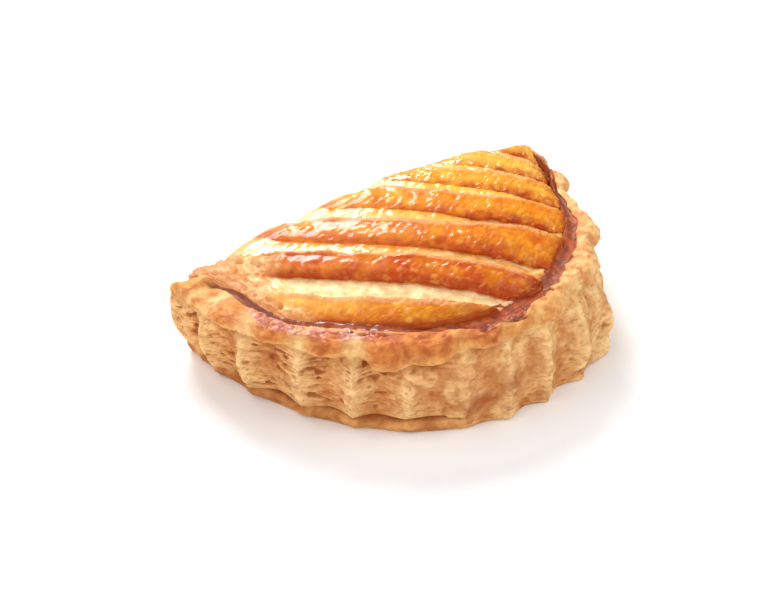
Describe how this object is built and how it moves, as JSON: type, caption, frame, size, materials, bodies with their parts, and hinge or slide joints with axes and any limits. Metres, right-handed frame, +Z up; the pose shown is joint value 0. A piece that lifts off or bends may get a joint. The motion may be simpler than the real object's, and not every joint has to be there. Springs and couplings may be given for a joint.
{
  "type": "turnover pastry",
  "caption": "Baked puff-pastry turnover: a half-moon with a fluted front wall, a sunk seam behind the lip and a scored, glazed dome of stepped strips that rolls over the fold.",
  "frame": {"origin": "middle of the flat base the turnover rests on, below the middle of its bounding box", "axes": "+X along the fold, towards the right tip seen from the fluted front; +Y from the fluted front towards the fold; +Z up"},
  "size_m": [0.1506, 0.1032, 0.0396],
  "materials": {
    "crust": "baked, glazed on top"
  },
  "bodies": {
    "root": {"turnover": "crust"}
  },
  "joints": []
}
